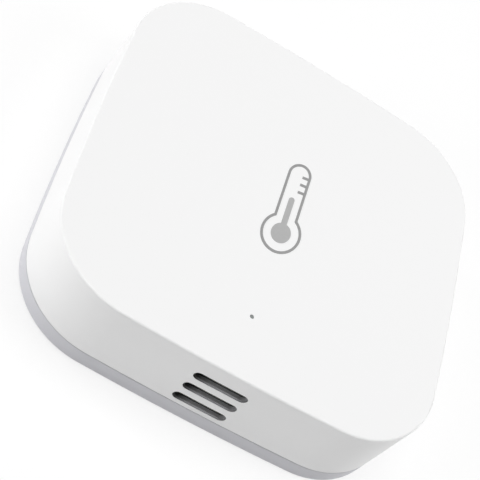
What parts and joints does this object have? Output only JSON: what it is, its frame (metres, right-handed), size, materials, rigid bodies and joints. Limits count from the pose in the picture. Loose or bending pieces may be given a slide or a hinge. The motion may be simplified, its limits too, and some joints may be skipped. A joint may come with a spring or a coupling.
{
  "type": "temperature humidity sensor",
  "caption": "Flat rounded-square climate sensor with side vent slots, status pinhole, reset button, coin cell and a snap-off back cover on an adhesive pad.",
  "frame": {"origin": "under the middle of the sensor, on the adhesive pad's outer face", "axes": "+Z out through the printed face, -Y towards the vent slots, +X to the right when the pictogram stands upright"},
  "size_m": [0.036, 0.036, 0.009],
  "materials": {
    "white_abs": "fine satin moulded white ABS",
    "grey_abs": "satin moulded light grey ABS",
    "mid_grey_abs": "matt moulded mid grey ABS",
    "pad_foam": "closed-cell foam with an adhesive face",
    "black_foam": "soft black foam",
    "print_ink": "grey pad-printed ink",
    "clear_plastic": "hazy grey polycarbonate",
    "black_mesh": "fine black woven mesh",
    "board_laminate": "glass laminate under green solder mask",
    "chip_resin": "black moulding resin",
    "nickel_steel": "nickel-plated sheet steel",
    "capacitor_ceramic": "tan ceramic with tinned ends",
    "light_resin": "pale resin lens",
    "resistor_glaze": "black glaze with tinned ends",
    "gold_plate": "gold-plated copper track",
    "black_nylon": "glass-filled black nylon",
    "cell_steel": "bright stainless steel",
    "gasket_nylon": "dark nylon",
    "electrode_stack": "pressed oxide and metal stack"
  },
  "bodies": {
    "base": {"back_cover": "grey_abs", "adhesive_pad": "pad_foam", "cell_cushion": "black_foam"},
    "housing": {"top_housing": "white_abs", "pictogram_outline": "print_ink", "pictogram_column": "print_ink", "light_pipe": "clear_plastic", "vent_insert": "mid_grey_abs", "vent_mesh": "black_mesh", "sensor_boot": "black_foam", "circuit_board": "board_laminate", "humidity_sensor": "chip_resin", "pressure_sensor": "nickel_steel", "radio_chip": "chip_resin", "clock_crystal": "nickel_steel", "reservoir_capacitor": "capacitor_ceramic", "status_light": "light_resin", "chip_capacitors": "capacitor_ceramic", "chip_resistors": "resistor_glaze", "antenna_trace": "gold_plate", "cell_holder": "black_nylon", "positive_contact": "nickel_steel", "negative_contact": "nickel_steel", "switch_body": "black_nylon", "switch_frame": "nickel_steel"},
    "coin_cell": {"cell_can": "cell_steel", "cell_cap": "cell_steel", "cell_gasket": "gasket_nylon", "cell_electrodes": "electrode_stack"},
    "button": {"reset_button": "white_abs", "switch_plunger": "black_nylon"}
  },
  "joints": [
    {"name": "housing_lift", "type": "slide", "parent": "base", "child": "housing", "axis": [0, 0, 1], "range_m": [0, 0.024]},
    {"name": "cell_out", "type": "slide", "parent": "housing", "child": "coin_cell", "axis": [0, 0, -1], "range_m": [0, 0.008]},
    {"name": "reset_press", "type": "slide", "parent": "housing", "child": "button", "axis": [0, -1, 0], "range_m": [0, 0.00025], "stiffness_N_per_m": 3000}
  ],
  "couplings": [
    {"joint": "cell_out", "follows": "housing_lift", "ratio": 0.33333}
  ]
}
